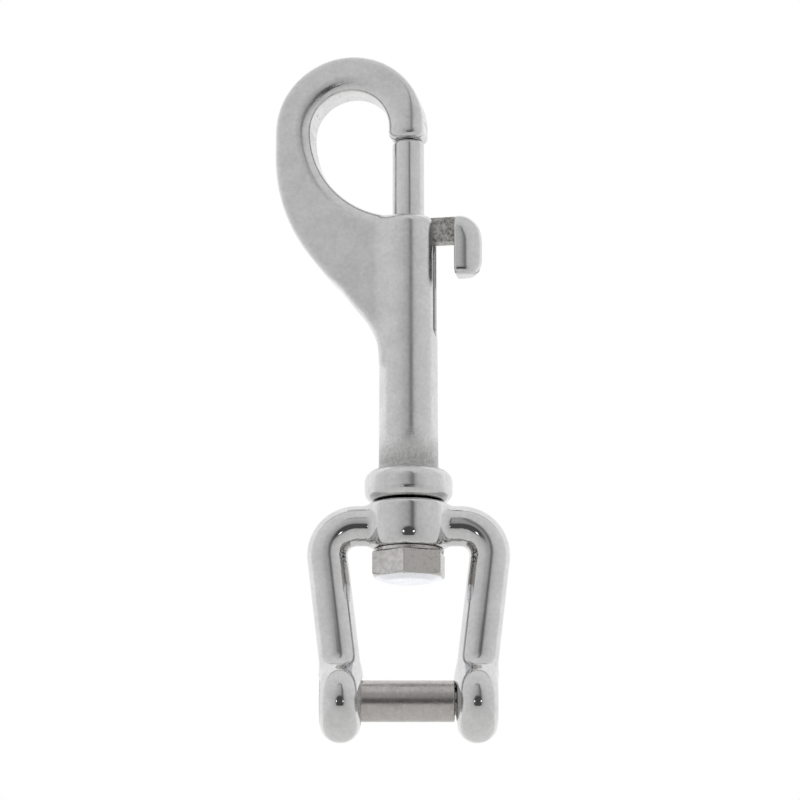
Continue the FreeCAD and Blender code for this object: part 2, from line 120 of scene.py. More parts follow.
def ring_distance(across: Array, along: Array, radius: float, low: float, high: float,
                  edge: Array | float) -> Array:
    """Measure a round bar or disc with rounded rims.

    Args:
        across: Distance from the axis in mm.
        along: Place along the axis in mm.
        radius: Radius of the bar in mm.
        low: Where the bar starts on its axis.
        high: Where the bar ends on its axis.
        edge: Radius of the rounded rims in mm.

    Returns:
        Signed distance to the bar.
    """
    end = np.maximum(low - along, along - high)
    return rounded_join(across - radius, end, edge)


def ease(value: Array, start: float, end: float) -> Array:
    """Rise smoothly from 0 to 1.

    Args:
        value: What the rise depends on.
        start: Value at which the rise starts.
        end: Value at which it has reached 1.

    Returns:
        Share from 0 to 1.
    """
    share = np.clip((value - start) / (end - start), 0.0, 1.0)
    return share * share * (3.0 - 2.0 * share)


@dataclass(frozen=True)
class Line:
    """A straight edge of a flat outline, in mm."""

    start: tuple[float, float]
    end: tuple[float, float]

    def distance(self, x: Array, z: Array) -> Array:
        """Measure how far points are from the edge.

        Args:
            x: Points' X in mm.
            z: Points' Z in mm.

        Returns:
            Distance in mm.
        """
        dx, dz = self.end[0] - self.start[0], self.end[1] - self.start[1]
        share = ((x - self.start[0]) * dx + (z - self.start[1]) * dz) / (dx * dx + dz * dz)
        share = np.clip(share, 0.0, 1.0)
        return np.hypot(x - self.start[0] - share * dx, z - self.start[1] - share * dz)

    def points(self) -> list[tuple[float, float]]:
        """Give the corner that the edge starts from."""
        return [self.start]


@dataclass(frozen=True)
class Arc:
    """A round edge of a flat outline, from one angle to another, in mm and degrees."""

    centre: tuple[float, float]
    radius: float
    first: float
    last: float

    def at(self, angle: float) -> tuple[float, float]:
        """Find a point of the arc's circle.

        Args:
            angle: Angle in degrees from +X towards +Z.

        Returns:
            The point's X and Z in mm.
        """
        turn = math.radians(angle)
        return (self.centre[0] + self.radius * math.cos(turn),
                self.centre[1] + self.radius * math.sin(turn))

    def distance(self, x: Array, z: Array) -> Array:
        """Measure how far points are from the arc.

        Args:
            x: Points' X in mm.
            z: Points' Z in mm.

        Returns:
            Distance in mm.
        """
        dx, dz = x - self.centre[0], z - self.centre[1]
        middle = math.radians((self.first + self.last) / 2)
        half = math.radians(abs(self.last - self.first) / 2)
        turn = np.arctan2(dz, dx) - middle
        turn = np.abs(np.arctan2(np.sin(turn), np.cos(turn)))
        on_circle = np.abs(np.hypot(dx, dz) - self.radius)
        ends = [np.hypot(x - px, z - pz) for px, pz in (self.at(self.first), self.at(self.last))]
        return np.where(turn <= half, on_circle, np.minimum(*ends))

    def points(self) -> list[tuple[float, float]]:
        """Spread points along the arc, close enough to tell inside from outside.

        Returns:
            Points about two degrees apart, without the arc's last one.
        """
        steps = max(4, int(abs(self.last - self.first) / 2))
        spread = np.linspace(self.first, self.last, steps, endpoint=False)
        return [self.at(angle) for angle in spread]


@dataclass(frozen=True)
class Outline:
    """A closed flat outline made of straight and round edges."""

    edges: tuple[Line | Arc, ...]

    def distance(self, x: Array, z: Array) -> Array:
        """Measure the signed distance to the outline, negative inside.

        Args:
            x: Points' X in mm.
            z: Points' Z in mm.

        Returns:
            Signed distance in mm.
        """
        x, z = np.broadcast_arrays(x, z)
        nearest = self.edges[0].distance(x, z)
        for edge in self.edges[1:]:
            nearest = np.minimum(nearest, edge.distance(x, z))
        corners = [point for edge in self.edges for point in edge.points()]
        inside = np.zeros(x.shape, bool)
        for (ax, az), (bx, bz) in zip(corners, corners[1:] + corners[:1]):
            if az == bz:
                continue
            crosses = (az > z) != (bz > z)
            inside ^= crosses & (x < ax + (z - az) * (bx - ax) / (bz - az))
        return np.where(inside, -nearest, nearest)


@dataclass(frozen=True)
class Mesher:
    """Turns a distance field into a fine, smooth mesh.

    Attributes:
        cell: Size of one face in mm.
        turn: Angle in degrees by which the solid is turned clockwise about Z.
        settle_steps: How often each point is pulled onto the exact surface.
    """

    cell: float
    turn: float = 0.0
    settle_steps: int = 4
    quick_coarseness: float = 1.7

    def build(self, name: str, shape: Distance, low: Sequence[float],
              high: Sequence[float]) -> bpy.types.Object:
        """Mesh a solid.

        Args:
            name: Name of the new piece.
            shape: Signed distance to the solid, in mm.
            low: Lowest corner of a box around the solid, in mm.
            high: Highest corner of that box, in mm.

        Returns:
            The new piece, in metres, in the frame of the CAD model.
        """
        shape = self.turned(shape)
        cell = self.cell * 1.0
        margin = 3 * cell
        axes = [np.arange(a - margin, b + margin, cell) for a, b in zip(low, high)]
        grids = np.meshgrid(*axes, indexing="ij", sparse=True)
        values = np.broadcast_to(shape(*grids), tuple(len(axis) for axis in axes))
        grid = openvdb.FloatGrid()
        grid.copyFromArray(np.clip(values, -margin, margin).astype(np.float32))
        points, quads = grid.convertToQuads(0.0)
        points = points.astype(float) * cell + [axis[0] for axis in axes]
        for _ in range(self.settle_steps):
            value, slope = self.slope(shape, points)
            points -= slope * (value / np.maximum((slope ** 2).sum(1), 0.05))[:, None]
        _, normals = self.slope(shape, points)
        normals /= np.maximum(np.linalg.norm(normals, axis=1), 1e-9)[:, None]
        return self.to_object(name, points, quads, normals)

    def turned(self, shape: Distance) -> Distance:
        """Turn a solid clockwise about Z.

        Args:
            shape: Signed distance to the solid in its own axes.

        Returns:
            Signed distance to the turned solid.
        """
        cosine, sine = math.cos(math.radians(self.turn)), math.sin(math.radians(self.turn))

        def turned_shape(x: Array, y: Array, z: Array) -> Array:
            """Measure the turned solid."""
            return shape(x * cosine - y * sine, x * sine + y * cosine, z)
        return turned_shape

    @staticmethod
    def slope(shape: Distance, points: Array) -> tuple[Array, Array]:
        """Measure the field and its slope.

        Args:
            shape: Signed distance to a solid, in mm.
            points: Where to measure, one row for each point, in mm.

        Returns:
            The field's value and its slope along X, Y and Z at each point.
        """
        step = 0.004
        value = shape(*points.T)
        slope = np.empty_like(points)
        for axis in range(3):
            shift = np.zeros(3)
            shift[axis] = step
            ahead, behind = shape(*(points + shift).T), shape(*(points - shift).T)
            slope[:, axis] = (ahead - behind) / (2 * step)
        return value, slope

    @staticmethod
    def to_object(name: str, points: Array, quads: Array, normals: Array) -> bpy.types.Object:
        """Make a smooth-shaded Blender mesh.

        Args:
            name: Name of the new piece.
            points: Corners of the mesh in mm.
            quads: Four corner numbers for each face.
            normals: Outward direction at each corner.

        Returns:
            The new piece, in metres.
        """
        corner = points[quads]
        facing = np.cross(corner[:, 2] - corner[:, 0], corner[:, 3] - corner[:, 1])
        if (facing * normals[quads[:, 0]]).sum() < 0:
            quads = quads[:, ::-1]
        mesh = bpy.data.meshes.new(name)
        mesh.vertices.add(len(points))
        mesh.vertices.foreach_set("co", (points * MM).astype(np.float32).ravel())
        mesh.loops.add(quads.size)
        mesh.loops.foreach_set("vertex_index", quads.astype(np.int32).ravel())
        mesh.polygons.add(len(quads))
        mesh.polygons.foreach_set("loop_start", np.arange(0, quads.size, 4, dtype=np.int32))
        mesh.update(calc_edges=True)
        mesh.validate()
        mesh.shade_smooth()
        mesh.normals_split_custom_set_from_vertices(normals.astype(np.float32))
        piece = bpy.data.objects.new(name, mesh)
        bpy.context.scene.collection.objects.link(piece)
        return piece


# ---------------------------------------------------------------- steel finishes

def linear(hex_colour: str) -> tuple[float, float, float, float]:
    """Turn an sRGB hex colour into a linear colour with full alpha.

    Args:
        hex_colour: Colour written as #RRGGBB.

    Returns:
        Linear red, green, blue and alpha.
    """
    channels = [int(hex_colour[i:i + 2], 16) / 255 for i in (1, 3, 5)]
    red, green, blue = (c / 12.92 if c <= 0.04045 else ((c + 0.055) / 1.055) ** 2.4 for c in channels)
    return red, green, blue, 1.0


def per_mm(size_mm: float) -> float:
    """Give the texture scale whose pattern repeats about every size_mm millimetres."""
    return 1.0 / (size_mm * MM)


def node(tree: Tree, kind: str, inputs: dict | None = None,
         **settings: object) -> bpy.types.Node:
    """Add a shader node with its settings, values and links.

    Args:
        tree: Node tree that the node goes into.
        kind: Node type without its ShaderNode prefix.
        inputs: Input name or number to a value, or to the output socket that feeds it.
        **settings: Properties of the node itself.

    Returns:
        The new node.
    """
    made = tree.nodes.new("ShaderNode" + kind)
    for setting, value in settings.items():
        setattr(made, setting, value)
    for name, value in (inputs or {}).items():
        if isinstance(value, Socket):
            tree.links.new(value, made.inputs[name])
        else:
            made.inputs[name].default_value = value
    return made


@dataclass(frozen=True)
class Skin:
    """What a steel surface is built up from: its tone, its roughness and its height in mm."""

    tone: Socket
    gloss: Socket
    height: Socket


@dataclass(frozen=True)
class Steel:
    """A stainless steel surface: its tone, its gloss and the fine relief that its making left.

    Attributes:
        name: What the surface is and how it was made.
        tone: Colour of the bare metal as sRGB hex.
        shade: Colour of its duller patches as sRGB hex.
        gloss: Lowest and highest roughness over the surface.
        patch_mm: Size of the patches between which gloss and tone drift.
        mottle_mm: Size of the fine mottling of the tone.
        grain_mm: Size of the grain of the relief.
        relief_mm: Height of the relief.
        wave_mm: Length of the slow waves that hand polishing leaves.
        wave_height_mm: Height of those waves.
        rim: Colour of the steel seen at a glancing angle, as sRGB hex.
        turn: Angle in degrees by which the piece is turned clockwise about Z.
    """

    name: str
    tone: str = "#D6D6D6"
    shade: str = "#C6C6C6"
    gloss: tuple[float, float] = (0.14, 0.24)
    patch_mm: float = 3.0
    mottle_mm: float = 0.6
    grain_mm: float = 0.35
    relief_mm: float = 0.004
    wave_mm: float = 5.0
    wave_height_mm: float = 0.01
    rim: str = "#FBFBFB"
    turn: float = 0.0

    def make(self) -> bpy.types.Material:
        """Build the material.

        Returns:
            The finished material.
        """
        material = bpy.data.materials.new(self.name)
        material.use_nodes = True
        tree = material.node_tree
        tree.nodes.clear()
        place = node(tree, "TexCoord").outputs["Object"]
        place = node(tree, "VectorRotate", {"Vector": place, "Angle": math.radians(self.turn)},
                     rotation_type="Z_AXIS").outputs[0]
        patches = node(tree, "TexNoise", {"Vector": place, "Scale": per_mm(self.patch_mm), "Detail": 6.0,
                                          "Roughness": 0.6}).outputs["Fac"]
        mottle = node(tree, "TexNoise", {"Vector": place, "Scale": per_mm(self.mottle_mm), "Detail": 2.0,
                                         "Roughness": 0.6}).outputs["Fac"]
        blotch = node(tree, "Math", {0: patches, 1: mottle}, operation="ADD").outputs[0]
        blotch = node(tree, "MapRange", {"Value": blotch, "From Min": 0.7, "From Max": 1.3}).outputs[0]
        tone = node(tree, "Mix", {"Factor": blotch, 6: linear(self.tone), 7: linear(self.shade)},
                    data_type="RGBA").outputs[2]
        gloss = node(tree, "MapRange", {"Value": patches, "From Min": 0.3, "From Max": 0.7,
                                        "To Min": self.gloss[0], "To Max": self.gloss[1]}).outputs[0]
        skin = self.special(tree, place, Skin(tone, gloss, self.relief(tree, place)))
        bump = node(tree, "Bump", {"Strength": 1.0, "Distance": MM, "Height": skin.height}).outputs[0]
        shader = node(tree, "BsdfPrincipled", {"Base Color": skin.tone, "Metallic": 1.0,
                                               "Roughness": skin.gloss, "Normal": bump,
                                               "Specular Tint": linear(self.rim)})
        output = node(tree, "OutputMaterial")
        tree.links.new(shader.outputs[0], output.inputs["Surface"])
        return material

    def relief(self, tree: Tree, place: Socket) -> Socket:
        """Build the height of the grain and of the slow waves.

        Args:
            tree: Node tree of the material.
            place: Place on the piece, in its own turned axes.

        Returns:
            Height in mm.
        """
        grain = node(tree, "TexNoise", {"Vector": place, "Scale": per_mm(self.grain_mm), "Detail": 3.0,
                                        "Roughness": 0.55}).outputs["Fac"]
        wave = node(tree, "TexNoise", {"Vector": place, "Scale": per_mm(self.wave_mm), "Detail": 1.0,
                                       "Roughness": 0.4}).outputs["Fac"]
        slow = node(tree, "Math", {0: wave, 1: self.wave_height_mm}, operation="MULTIPLY").outputs[0]
        return node(tree, "Math", {0: grain, 1: self.relief_mm, 2: slow},
                    operation="MULTIPLY_ADD").outputs[0]

    def special(self, tree: Tree, place: Socket, skin: Skin) -> Skin:
        """Add what only this surface has; the plain steel adds nothing."""
        return skin


def band(tree: Tree, place: Socket, axis: str, start: float, end: float) -> Socket:
    """Make a mask that rises from 0 to 1 along an axis.

    Args:
        tree: Node tree of the material.
        place: Place on the piece.
        axis: X, Y or Z.
        start: Where the mask is 0, in mm.
        end: Where it reaches 1, in mm.

    Returns:
        The mask.
    """
    split = node(tree, "SeparateXYZ", {0: place}).outputs[axis]
    return node(tree, "MapRange", {"Value": split, "From Min": start * MM, "From Max": end * MM,
                                   "To Min": 0.0, "To Max": 1.0}, interpolation_type="SMOOTHSTEP").outputs[0]


@dataclass(frozen=True)
class TumbledCasting(Steel):
    """Investment-cast stainless, tumbled smooth, with an as-cast band left above the collar.

    Attributes:
        rough_from: Height in mm at which the as-cast band is at full strength.
        rough_to: Height in mm at which it has faded out.
        collar_top: Height in mm at which the band starts, on the collar's shoulder.
        speckle_mm: Size of the as-cast speckle.
        hollow_tone: Colour of the speckle's hollows as sRGB hex.
        pit_mm: Spacing of the few casting pits.
    """

    rough_from: float = 34.6
    rough_to: float = 40.0
    collar_top: float = 33.5
    speckle_mm: float = 0.42
    hollow_tone: str = "#5E5A55"
    pit_mm: float = 2.6

    def special(self, tree: Tree, place: Socket, skin: Skin) -> Skin:
        """Add the rough band above the collar, which the wheel can't reach, and scattered pits.

        Args:
            tree: Node tree of the material.
            place: Place on the piece, in its own turned axes.
            skin: The plain steel's tone, gloss and height.

        Returns:
            The same three, with this surface's own detail.
        """
        tone, gloss, height = skin.tone, skin.gloss, skin.height
        above = band(tree, place, "Z", self.rough_to, self.rough_from)
        start = band(tree, place, "Z", self.collar_top - 0.2, self.collar_top + 0.2)
        raw = node(tree, "Math", {0: above, 1: start}, operation="MULTIPLY").outputs[0]
        speckle = node(tree, "TexNoise", {"Vector": place, "Scale": per_mm(self.speckle_mm),
                                          "Detail": 4.0, "Roughness": 0.75}).outputs["Fac"]
        peaks = node(tree, "MapRange", {"Value": speckle, "From Min": 0.35, "From Max": 0.65}).outputs[0]
        rough_height = node(tree, "Math", {0: peaks, 1: raw}, operation="MULTIPLY").outputs[0]
        height = node(tree, "Math", {0: rough_height, 1: 0.1, 2: height},
                      operation="MULTIPLY_ADD").outputs[0]
        gloss = node(tree, "Math", {0: raw, 1: 0.28, 2: gloss}, operation="MULTIPLY_ADD").outputs[0]
        hollows = node(tree, "Math", {0: 1.0, 1: peaks}, operation="SUBTRACT").outputs[0]
        dark = node(tree, "Math", {0: hollows, 1: raw}, operation="MULTIPLY").outputs[0]
        dark = node(tree, "Math", {0: dark, 1: 0.4}, operation="MULTIPLY").outputs[0]
        tone = node(tree, "Mix", {"Factor": dark, 6: tone, 7: linear(self.hollow_tone)},
                    data_type="RGBA").outputs[2]
        cells = node(tree, "TexVoronoi", {"Vector": place, "Scale": per_mm(self.pit_mm),
                                          "Randomness": 1.0}).outputs["Distance"]
        pit = node(tree, "MapRange", {"Value": cells, "From Min": 0.03, "From Max": 0.075,
                                      "To Min": 1.0, "To Max": 0.0}).outputs[0]
        height = node(tree, "Math", {0: pit, 1: -0.02, 2: height}, operation="MULTIPLY_ADD").outputs[0]
        return Skin(tone, gloss, height)


@dataclass(frozen=True)
class LeverCasting(Steel):
    """Cast lever: its stem is left raw and grey, its knob is polished.

    Attributes:
        polish_from: Place along X in mm where the polished knob starts.
        skin_mm: Size of the lumps of the raw skin.
        hollow_tone: Colour of the skin's hollows as sRGB hex.
        peak_tone: Colour of its peaks as sRGB hex.
    """

    polish_from: float = 7.3
    skin_mm: float = 0.5
    hollow_tone: str = "#77746F"
    peak_tone: str = "#C3C2C1"

    def special(self, tree: Tree, place: Socket, skin: Skin) -> Skin:
        """Add the raw cast skin of the stem.

        Args:
            tree: Node tree of the material.
            place: Place on the piece, in its own turned axes.
            skin: The plain steel's tone, gloss and height.

        Returns:
            The same three, with this surface's own detail.
        """
        tone, gloss, height = skin.tone, skin.gloss, skin.height
        raw = band(tree, place, "X", self.polish_from + 0.04, self.polish_from - 0.04)
        lumps = node(tree, "TexNoise", {"Vector": place, "Scale": per_mm(self.skin_mm), "Detail": 5.0,
                                        "Roughness": 0.8}).outputs["Fac"]
        bumps = node(tree, "Math", {0: lumps, 1: raw}, operation="MULTIPLY").outputs[0]
        height = node(tree, "Math", {0: bumps, 1: 0.1, 2: height}, operation="MULTIPLY_ADD").outputs[0]
        gloss = node(tree, "Math", {0: raw, 1: 0.3, 2: gloss}, operation="MULTIPLY_ADD").outputs[0]
        rise = node(tree, "MapRange", {"Value": lumps, "From Min": 0.38, "From Max": 0.6}).outputs[0]
        raw_tone = node(tree, "Mix", {"Factor": rise, 6: linear(self.hollow_tone),
                                      7: linear(self.peak_tone)}, data_type="RGBA").outputs[2]
        tone = node(tree, "Mix", {"Factor": raw, 6: tone, 7: raw_tone}, data_type="RGBA").outputs[2]
        return Skin(tone, gloss, height)


@dataclass(frozen=True)
class HeadedSteel(Steel):
    """Cold-headed steel: painted shade and more scuffs on one side of the flats, painted light on the head's
    end.

    Attributes:
        painted_shade_from: Place along X in mm past which the flats get painted shade.
        painted_shade_tone: Colour of that painted shade as sRGB hex.
        painted_underside_light: Painted light: lighter, cooler colour of the head's end below the flats, as
            sRGB hex.
        flats_from: Height in mm at which the flats start above the faced end.
        scuff_mm: Size of the scuffs.
    """

    painted_shade_from: float = -0.8
    painted_shade_tone: str = "#B4B1AE"
    painted_underside_light: str = "#ECEEF2"
    flats_from: float = 18.0
    scuff_mm: float = 0.5

    def special(self, tree: Tree, place: Socket, skin: Skin) -> Skin:
        """Add painted shade on one side of the flats and painted light on the head's end, and short wrench
        scuffs.

        Args:
            tree: Node tree of the material.
            place: Place on the piece, in its own turned axes.
            skin: The plain steel's tone, gloss and height.

        Returns:
            The same three, with this surface's own detail.
        """
        tone, gloss, height = skin.tone, skin.gloss, skin.height
        # painted shade: mask of the +X side of the head, where the flats are painted darker
        side = band(tree, place, "X", self.painted_shade_from - 0.1, self.painted_shade_from + 0.1)
        flats = band(tree, place, "Z", self.flats_from - 0.1, self.flats_from + 0.1)
        # painted light: the head's end below the flats is painted lighter and cooler
        tone = node(tree, "Mix", {"Factor": flats, 6: linear(self.painted_underside_light), 7: tone},
                    data_type="RGBA").outputs[2]
        # painted shade on the +X side of the flats; the same mask also places the scuffs
        painted_shade_and_scuffs = node(tree, "Math", {0: side, 1: flats}, operation="MULTIPLY").outputs[0]
        tone = node(tree, "Mix", {"Factor": painted_shade_and_scuffs, 6: tone, 7: linear(self.painted_shade_tone)},
                    data_type="RGBA").outputs[2]
        scuffs = node(tree, "TexNoise", {"Vector": place, "Scale": per_mm(self.scuff_mm), "Detail": 4.0,
                                         "Roughness": 0.7}).outputs["Fac"]
        marks = node(tree, "MapRange", {"Value": scuffs, "From Min": 0.56, "From Max": 0.66}).outputs[0]
        marks = node(tree, "Math", {0: marks, 1: painted_shade_and_scuffs}, operation="MULTIPLY").outputs[0]
        height = node(tree, "Math", {0: marks, 1: -0.03, 2: height}, operation="MULTIPLY_ADD").outputs[0]
        return Skin(tone, gloss, height)


@dataclass(frozen=True)
class TurnedSteel(Steel):
    """Steel turned on a lathe or ground along its length, with fine lines left by the tool.

    Attributes:
        axis: Axis that the part was turned about, or along which it was drawn.
        pitch_mm: Spacing of the tool lines, drawn coarser than real so that they show.
        line_height_mm: Height of the tool lines.
        around: Whether the lines run round the part; if not, they run along it.
        streak_mm: Length of one tool line.
    """

    axis: str = "X"
    pitch_mm: float = 0.12
    line_height_mm: float = 0.003
    around: bool = True
    streak_mm: float = 6.0

    def special(self, tree: Tree, place: Socket, skin: Skin) -> Skin:
        """Add the tool lines: noise squeezed across the lines and stretched along them.

        Args:
            tree: Node tree of the material.
            place: Place on the piece, in its own turned axes.
            skin: The plain steel's tone, gloss and height.

        Returns:
            The same three, with this surface's own detail.
        """
        tone, gloss, height = skin.tone, skin.gloss, skin.height
        fine, long = per_mm(self.pitch_mm), per_mm(self.streak_mm)
        along_axis = (fine, long) if self.around else (long, fine)
        scale = [along_axis[0] if name == self.axis else along_axis[1] for name in "XYZ"]
        stretched = node(tree, "Mapping", {"Vector": place, "Scale": scale}).outputs[0]
        lines = node(tree, "TexNoise", {"Vector": stretched, "Scale": 1.0, "Detail": 3.0,
                                        "Roughness": 0.7}).outputs["Fac"]
        height = node(tree, "Math", {0: lines, 1: self.line_height_mm, 2: height},
                      operation="MULTIPLY_ADD").outputs[0]
        streak = node(tree, "MapRange", {"Value": lines, "From Min": 0.35, "From Max": 0.7,
                                         "To Min": 0.0, "To Max": 0.6}).outputs[0]
        tone = node(tree, "Mix", {"Factor": streak, 6: tone, 7: linear(self.shade)},
                    data_type="RGBA").outputs[2]
        return Skin(tone, gloss, height)


class Finish(Enum):
    """The steel surfaces of the hardware."""

    # soft grey with a fine orange-peel grain and small pits: tumbled investment casting
    TUMBLED_CASTING = TumbledCasting("tumbled_cast_316_stainless")
    # near-mirror with long hand-polished waves: buffed casting
    BUFFED_CASTING = Steel("buffed_cast_316_stainless", gloss=(0.06, 0.1), relief_mm=0.0004,
                           grain_mm=0.5, wave_mm=6.0, wave_height_mm=0.02)
    # bright rod with hairlines along its length: drawn and buffed bar
    BUFFED_ROD = TurnedSteel("buffed_drawn_stainless_rod", axis="Z", around=False, pitch_mm=0.2,
                             line_height_mm=0.0012, gloss=(0.1, 0.16), relief_mm=0.001,
                             wave_height_mm=0.004)
    # polished knob on a raw grey stem: cast lever
    LEVER_CASTING = LeverCasting("cast_stainless_lever", turn=HOOK_TURN, gloss=(0.09, 0.14),
                                 relief_mm=0.001)
    # slightly warm and dull, with a forged skin, painted shade on one side of the flats and painted light on
    # the end: cold-headed bolt
    HEADED_BOLT = HeadedSteel("cold_headed_a4_stainless", tone="#D3D1CF", shade="#B9B6B4",
                              gloss=(0.2, 0.34), grain_mm=0.4, relief_mm=0.003, patch_mm=1.2)
    # warm grey with fine lines round the pin: turned bar
    TURNED_BAR = TurnedSteel("turned_a4_stainless_bar", tone="#C6C3C1", shade="#ACA8A6", axis="X",
                             gloss=(0.2, 0.3), pitch_mm=0.1, line_height_mm=0.006)
    # dull drawn wire: spring
    DRAWN_WIRE = Steel("drawn_302_stainless_wire", tone="#B9B7B3", gloss=(0.25, 0.35), grain_mm=0.1)


# ---------------------------------------------------------------- the pieces

MATERIALS: dict[Finish, bpy.types.Material] = {}


def finish_piece(piece: bpy.types.Object, finish: Finish, body: str) -> bpy.types.Object:
    """Dress a piece, let it ride on its body and let it stand for its CAD node.

    Args:
        piece: The new piece; its name is its CAD node's name with _skin behind it.
        finish: The steel finish that it gets.
        body: The CAD body that it moves with.

    Returns:
        The same piece.
    """
    cad_node = piece.name.removesuffix("_skin")
    piece.data.materials.append(MATERIALS[finish])
    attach(piece, body)
    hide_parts(cad_node)
    LOG.info("%s: %d faces on %s, %s", piece.name, len(piece.data.polygons), body, finish.name)
    return piece


def mm_box(node_name: str) -> tuple[list[float], list[float]]:
    """Give a CAD node's lowest and highest corners in mm."""
    low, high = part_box(node_name)
    return [c / MM for c in low], [c / MM for c in high]


@dataclass
class SnapHook:
    """The snap half: casting, plunger, thumb lever and spring.

    Sizes are in mm; the casting's outline lies in the XZ plane.
    """

    # barrel and the collar under it
    barrel_radius: float = 4.4
    barrel_top: float = 72.85
    barrel_top_edge: float = 1.3
    collar_radius: float = 6.5
    collar_bottom: float = 29.25
    collar_middle: float = 31.4
    collar_top: float = 33.9
    collar_edge: float = 1.7
    collar_lower_edge: float = 1.55
    # hook, ending in the nose with its shallow socket for the plunger
    hook_stock: float = 5.4
    hook_outer: float = 11.45
    crown_level: float = 87.3
    nose_end: float = 85.2
    nose_socket_radius: float = 2.3
    nose_socket_rise: float = 0.8
    nose_edge_round: float = 1.3
    nose_bend_reach: float = 35.0
    nose_bar_start: float = 77.0
    nose_bar_end: float = 79.5
    # eye, back and web
    throat_radius: float = 14.45
    back_level: float = 83.45
    back_radius: float = 26.5
    web_radius: float = 12.0
    web_foot: float = 50.0
    # rims: round outside, wide and flat at the eye and on the nose
    hook_half_depth: float = 3.3
    hook_edge: float = 0.95
    rim_from: float = 1.9
    rim_to: float = 3.0
    eye_edge: float = 1.35
    eye_edge_width: float = 2.3
    nose_edge: float = 1.6
    nose_edge_width: float = 2.65
    # how the web runs into the barrel
    web_blend: float = 1.3
    web_round: float = 0.8
    web_round_from: float = 62.0
    web_round_to: float = 70.0
    web_clear: float = 5.0
    blend_fade_from: float = 71.5
    blend_fade_to: float = 73.5
    collar_blend: float = 0.9
    # bore and the slot in its wall
    bore_radius: float = 2.48
    bore_bottom: float = 37.0
    slot_half_width: float = 1.35
    slot_bottom: float = 54.2
    slot_lip: float = 0.6
    slot_start: float = 0.4
    bore_edge: float = 0.3
    overrun: float = 3.0
    fine_edge: float = 0.15
    # plunger
    plunger_radius: float = 2.42
    plunger_dome: float = 0.75
    plunger_edge: float = 0.5
    # thumb lever; shoulder and heel are half-axes of ellipses
    stem_half_thickness: float = 1.15
    stem_bottom: float = 68.8
    stem_top: float = 72.65
    stem_start: float = 2.46
    knob_inner: float = 7.3
    knob_outer: float = 11.4
    knob_bottom: float = 63.5
    knob_top: float = 72.75
    knob_half_depth: float = 2.25
    knob_face_radius: float = 7.0
    knob_side: float = 2.4
    knob_front_side: float = 1.3
    knob_shoulder: tuple[float, float] = (3.4, 4.2)
    knob_heel: tuple[float, float] = (2.8, 2.4)
    knob_heel_edge: float = 1.2
    knob_inner_edge: float = 0.3
    overlap: float = 0.5
    tenon_radius: float = 0.96
    tenon_tip: float = -1.2
    tenon_edge: float = 0.1
    # spring
    spring_radius: float = 1.95
    spring_wire_radius: float = 0.25
    spring_turns: int = 12
    spring_closed_turns: float = 1.2
    spring_squashed: float = 0.42
    hook_turn: float = HOOK_TURN
    outline: Outline = field(init=False)
    tangent_angle: float = field(init=False)

    def __post_init__(self) -> None:
        """Work out the outline of the hook and its web."""
        back = (self.hook_stock / 2 - 2 * self.hook_outer + self.back_radius, self.back_level)
        foot = (-self.barrel_radius - self.web_radius, self.web_foot)
        apart = math.dist(back, foot)
        heading = math.atan2(back[1] - foot[1], back[0] - foot[0])
        lean = math.acos((self.back_radius + self.web_radius) / apart)
        self.tangent_angle = math.degrees(heading - lean)
        crown = (self.hook_stock / 2 - self.hook_outer, self.crown_level)
        half = self.hook_stock / 2
        inner = self.hook_outer - self.hook_stock
        throat = (crown[0] - inner + self.throat_radius, self.crown_level)
        back_arc = Arc(back, self.back_radius, 180, 180 + self.tangent_angle)
        foot_arc = Arc(foot, self.web_radius, self.tangent_angle, 0)
        left = crown[0] - self.hook_outer
        self.outline = Outline((
            Line((half, self.nose_bar_end), (half, self.crown_level)),
            Arc(crown, self.hook_outer, 0, 180),
            Line((left, self.crown_level), (left, self.back_level)),
            back_arc,
            Line(back_arc.at(back_arc.last), foot_arc.at(foot_arc.first)),
            foot_arc,
            Line(foot_arc.at(0), (throat[0], self.web_foot)),
            Line((throat[0], self.web_foot), (throat[0], self.barrel_top)),
            Arc(throat, self.throat_radius, 270, 180),
            Arc(crown, inner, 180, 0),
            Line((-half, self.crown_level), (-half, self.nose_bar_end)),
            Line((-half, self.nose_bar_end), (half, self.nose_bar_end)),
        ))

    def web_reach(self, z: Array) -> Array:
        """Work out how far the web's back stands from the barrel's axis.

        Args:
            z: Height in mm.

        Returns:
            Reach to the left of the axis in mm.
        """
        foot_x = -self.barrel_radius - self.web_radius
        turn = math.radians(self.tangent_angle)
        rise = np.clip(z - self.web_foot, 0.0, self.web_radius * math.sin(turn))
        arc = -foot_x - np.sqrt(self.web_radius ** 2 - rise ** 2)
        above = np.maximum(z - self.web_foot - self.web_radius * math.sin(turn), 0.0)
        return arc + above * math.tan(turn)

